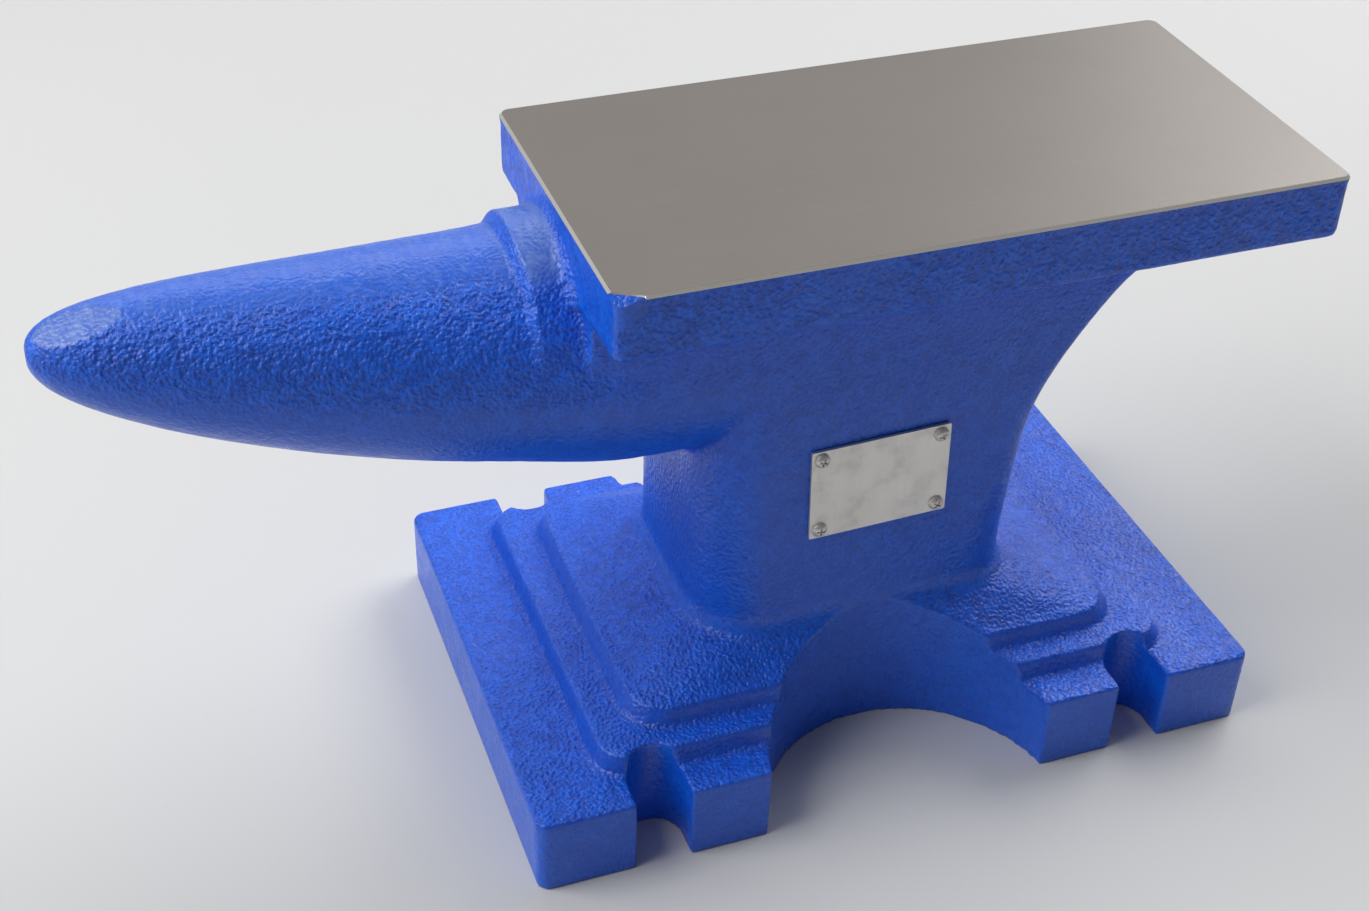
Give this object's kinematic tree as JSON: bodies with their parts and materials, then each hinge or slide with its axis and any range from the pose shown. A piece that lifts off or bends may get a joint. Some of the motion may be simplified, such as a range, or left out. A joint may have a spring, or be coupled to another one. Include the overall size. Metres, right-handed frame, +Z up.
{
  "type": "single-horn bench anvil",
  "caption": "Painted cast iron bench anvil with a round horn, ground flat face, terraced base with open clamping slots and a blank nameplate.",
  "frame": {"origin": "centre of the underside of the base, on the surface the anvil stands on", "axes": "+Z up out of the ground face, horn along -X, nameplate on the -Y side"},
  "size_m": [0.3588, 0.153, 0.184],
  "materials": {
    "blue_paint": "semi-gloss blue paint over rough sand casting, top face ground to bare metal",
    "plate_metal": "satin",
    "screw_metal": "dull plated"
  },
  "bodies": {
    "root": {"casting": "blue_paint", "nameplate": "plate_metal", "nameplate_screw_top_left": "screw_metal", "nameplate_screw_top_right": "screw_metal", "nameplate_screw_bottom_left": "screw_metal", "nameplate_screw_bottom_right": "screw_metal"}
  },
  "joints": []
}
